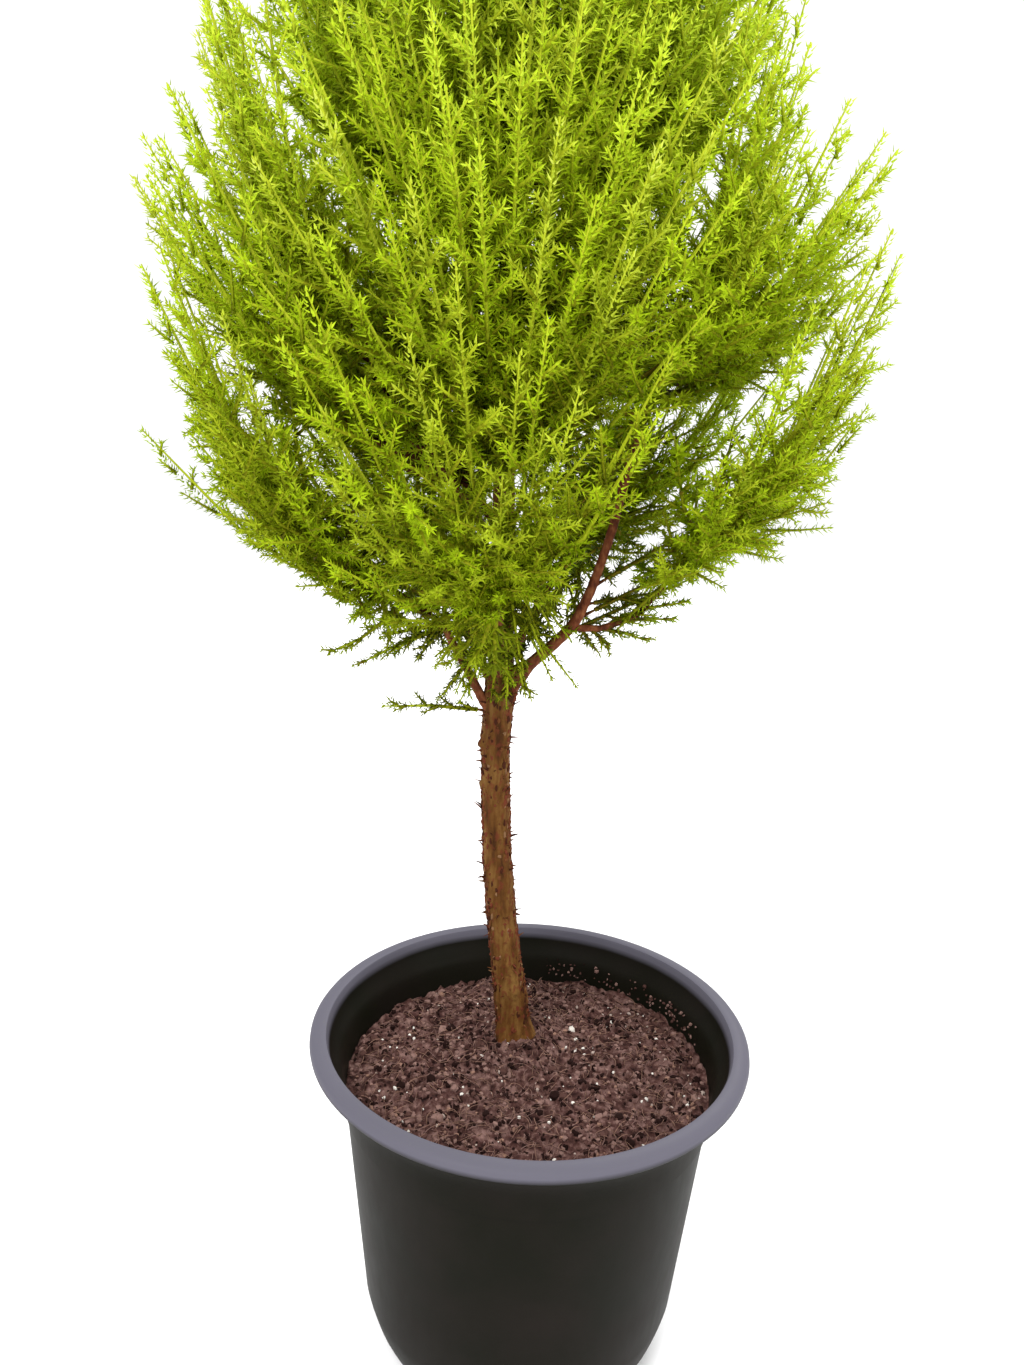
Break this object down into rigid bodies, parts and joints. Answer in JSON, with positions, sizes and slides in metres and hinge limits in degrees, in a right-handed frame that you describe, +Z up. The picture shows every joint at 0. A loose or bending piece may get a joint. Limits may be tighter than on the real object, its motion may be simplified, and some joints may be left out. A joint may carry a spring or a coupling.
{
  "type": "lemon cypress topiary",
  "caption": "Lemon cypress grown as a small standard: a bare stem and a lemon-shaped crown of feathery lime-green needles, in a round black nursery pot.",
  "frame": {"origin": "centre of the flat underside of the pot, on the surface that the pot stands on", "axes": "+Z up, -Y towards the viewer of the picture, +X to the viewer's right"},
  "size_m": [0.2665, 0.2427, 0.5936],
  "materials": {
    "pot_plastic": "satin black injection-moulded plastic",
    "potting_mix": "moist dark brown peat mix, crumbly and fibrous, with pale grit",
    "bark": "thin reddish-brown bark with old leaf scars, olive where it is worn smooth",
    "needles": "matte lime-green needles, yellower at the tips"
  },
  "bodies": {
    "root": {"pot": "pot_plastic", "soil": "potting_mix", "trunk": "bark", "right_bough": "bark", "left_bough": "bark", "low_right_bough": "bark", "back_right_bough": "bark", "back_left_bough": "bark", "front_bough": "bark", "low_right": "needles", "low_back_right": "needles", "low_back_left": "needles", "low_left": "needles", "low_front": "needles", "middle_right": "needles", "middle_back_right": "needles", "middle_back_left": "needles", "middle_left": "needles", "middle_front": "needles", "upper_right": "needles", "upper_back_right": "needles", "upper_back_left": "needles", "upper_left": "needles", "upper_front": "needles", "top": "needles"}
  },
  "joints": []
}
